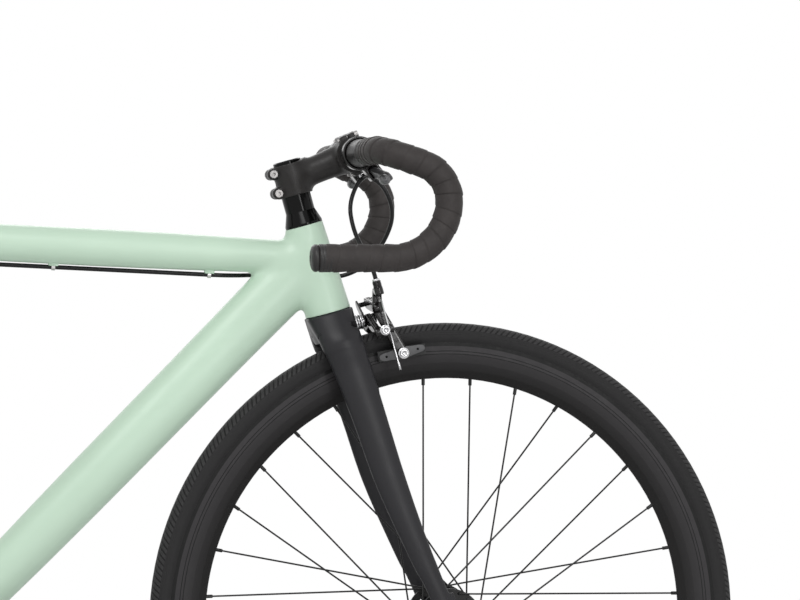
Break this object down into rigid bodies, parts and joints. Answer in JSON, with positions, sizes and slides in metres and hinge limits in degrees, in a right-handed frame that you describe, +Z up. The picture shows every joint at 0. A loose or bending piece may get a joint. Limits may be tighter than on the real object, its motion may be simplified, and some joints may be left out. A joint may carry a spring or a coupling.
{
  "type": "fixed gear bike",
  "caption": "Fixed gear bike: tapered welded frame, bladed fork, drop bar with cross-top levers, dual-pivot rim brakes, high-flange spoked wheels and a chain drive.",
  "frame": {"origin": "on the ground under the middle of the bike, midway between the axles", "axes": "+X forward, +Y to the rider's left, +Z up"},
  "size_m": [1.6708, 0.4498, 0.9764],
  "materials": {
    "mint_paint": "satin",
    "black_paint": "matte",
    "gloss_black": "gloss",
    "black_alloy": "satin anodised",
    "silver_alloy": "polished",
    "grey_alloy": "satin anodised",
    "steel": "plated",
    "black_steel": "blackened",
    "tyre": "matte",
    "rubber": "matte",
    "tape": "matte",
    "housing": "satin",
    "black_plastic": "matte",
    "saddle_skin": "matte"
  },
  "bodies": {
    "frame": {"head_tube": "mint_paint", "bottom_bracket_shell": "mint_paint", "seat_tube": "mint_paint", "down_tube": "mint_paint", "top_tube": "mint_paint", "chainstays": "mint_paint", "seatstays": "mint_paint", "headset_bearings": "steel", "rear_axle": "steel", "chain_inner_links": "steel", "chain_outer_links": "steel", "cable_clips": "black_plastic", "seat_clamp": "black_alloy", "bottom_bracket": "black_alloy", "rear_brake_mount": "black_alloy", "rear_brake_housing": "housing"},
    "steering": {"fork": "black_paint", "front_axle": "steel", "stem_bolts": "steel", "headset_spacers": "gloss_black", "stem": "black_alloy", "stem_faceplate": "black_alloy", "handlebar": "black_alloy", "lever_brackets": "black_alloy", "front_brake_mount": "black_alloy", "bar_tape": "tape", "bar_end_plugs": "black_plastic", "front_brake_housing": "housing", "rear_brake_lead": "housing"},
    "right_lever": {"right_brake_lever": "grey_alloy"},
    "left_lever": {"left_brake_lever": "grey_alloy"},
    "front_cable_side": {"front_cable_arm": "black_alloy", "front_cable_pad": "rubber"},
    "front_anchor_side": {"front_anchor_arm": "black_alloy", "front_anchor_pad": "rubber", "front_brake_wire": "steel"},
    "rear_cable_side": {"rear_cable_arm": "black_alloy", "rear_cable_pad": "rubber"},
    "rear_anchor_side": {"rear_anchor_arm": "black_alloy", "rear_anchor_pad": "rubber", "rear_brake_wire": "steel"},
    "front_wheel": {"front_tyre": "tyre", "front_rim": "black_alloy", "front_hub": "black_alloy", "front_spokes": "black_steel"},
    "rear_wheel": {"rear_tyre": "tyre", "rear_rim": "black_alloy", "rear_hub": "black_alloy", "rear_spokes": "black_steel", "fixed_cog": "steel"},
    "crank": {"crank_axles": "steel", "crank_bolts": "steel", "crank_arms": "black_alloy", "chainring": "black_alloy"},
    "right_pedal": {"right_pedal": "black_alloy"},
    "left_pedal": {"left_pedal": "black_alloy"},
    "seat": {"seatpost": "black_alloy", "saddle_rails": "steel", "saddle_shell": "black_plastic", "saddle_cover": "saddle_skin"}
  },
  "joints": [
    {"name": "steering_turn", "type": "hinge", "parent": "frame", "child": "steering", "pos_m": [0.3615, 0, 0.69074], "axis": [-0.2672, 0, 0.9636], "range_deg": [-70, 70], "deforming": ["rear_brake_lead"]},
    {"name": "front_wheel_spin", "type": "hinge", "parent": "steering", "child": "front_wheel", "pos_m": [0.49641, 0, 0.339], "axis": [0, 1, 0], "continuous": true},
    {"name": "rear_wheel_spin", "type": "hinge", "parent": "frame", "child": "rear_wheel", "pos_m": [-0.49641, 0, 0.339], "axis": [0, 1, 0], "continuous": true, "deforming": ["chain_inner_links", "chain_outer_links"]},
    {"name": "crank_spin", "type": "hinge", "parent": "frame", "child": "crank", "pos_m": [-0.10359, 0, 0.294], "axis": [0, 1, 0], "continuous": true, "deforming": ["chain_inner_links", "chain_outer_links"]},
    {"name": "right_pedal_spin", "type": "hinge", "parent": "crank", "child": "right_pedal", "pos_m": [0.06641, 0, 0.294], "axis": [0, 1, 0], "continuous": true},
    {"name": "left_pedal_spin", "type": "hinge", "parent": "crank", "child": "left_pedal", "pos_m": [-0.27359, 0, 0.294], "axis": [0, 1, 0], "continuous": true},
    {"name": "right_lever_pull", "type": "hinge", "parent": "steering", "child": "right_lever", "pos_m": [0.40569, -0.052, 0.84858], "axis": [-0.7771, 0, -0.6293], "range_deg": [0, 14], "stiffness_Nm_per_rad": 1.5, "springref_deg": -8.59, "deforming": ["front_brake_wire"]},
    {"name": "left_lever_pull", "type": "hinge", "parent": "steering", "child": "left_lever", "pos_m": [0.40569, 0.052, 0.84858], "axis": [0.7771, 0, 0.6293], "range_deg": [0, 14], "stiffness_Nm_per_rad": 1.5, "springref_deg": -8.59, "deforming": ["rear_brake_wire"]},
    {"name": "front_cable_arm_close", "type": "hinge", "parent": "steering", "child": "front_cable_side", "pos_m": [0.38685, 0.021, 0.69362], "axis": [0.9636, 0, 0.2672], "range_deg": [0, 1.5], "deforming": ["front_brake_wire"]},
    {"name": "front_anchor_arm_close", "type": "hinge", "parent": "steering", "child": "front_anchor_side", "pos_m": [0.3914, 0, 0.67724], "axis": [-0.9636, 0, -0.2672], "range_deg": [0, 1.99], "deforming": ["front_brake_wire"]},
    {"name": "rear_cable_arm_close", "type": "hinge", "parent": "frame", "child": "rear_cable_side", "pos_m": [-0.32101, -0.021, 0.66992], "axis": [-0.868, 0, 0.4966], "range_deg": [0, 1.34], "deforming": ["rear_brake_wire"]},
    {"name": "rear_anchor_arm_close", "type": "hinge", "parent": "frame", "child": "rear_anchor_side", "pos_m": [-0.32945, 0, 0.65517], "axis": [0.868, 0, -0.4966], "range_deg": [0, 1.72], "deforming": ["rear_brake_wire"]},
    {"name": "seatpost_slide", "type": "slide", "parent": "frame", "child": "seat", "axis": [-0.2672, 0, 0.9636], "range_m": [-0.04, 0.03]}
  ],
  "couplings": [
    {"joint": "crank_spin", "follows": "rear_wheel_spin", "ratio": 0.34783},
    {"joint": "front_cable_arm_close", "follows": "right_lever_pull", "ratio": 0.10714},
    {"joint": "front_anchor_arm_close", "follows": "right_lever_pull", "ratio": 0.14214},
    {"joint": "rear_cable_arm_close", "follows": "left_lever_pull", "ratio": 0.095713},
    {"joint": "rear_anchor_arm_close", "follows": "left_lever_pull", "ratio": 0.12286}
  ]
}
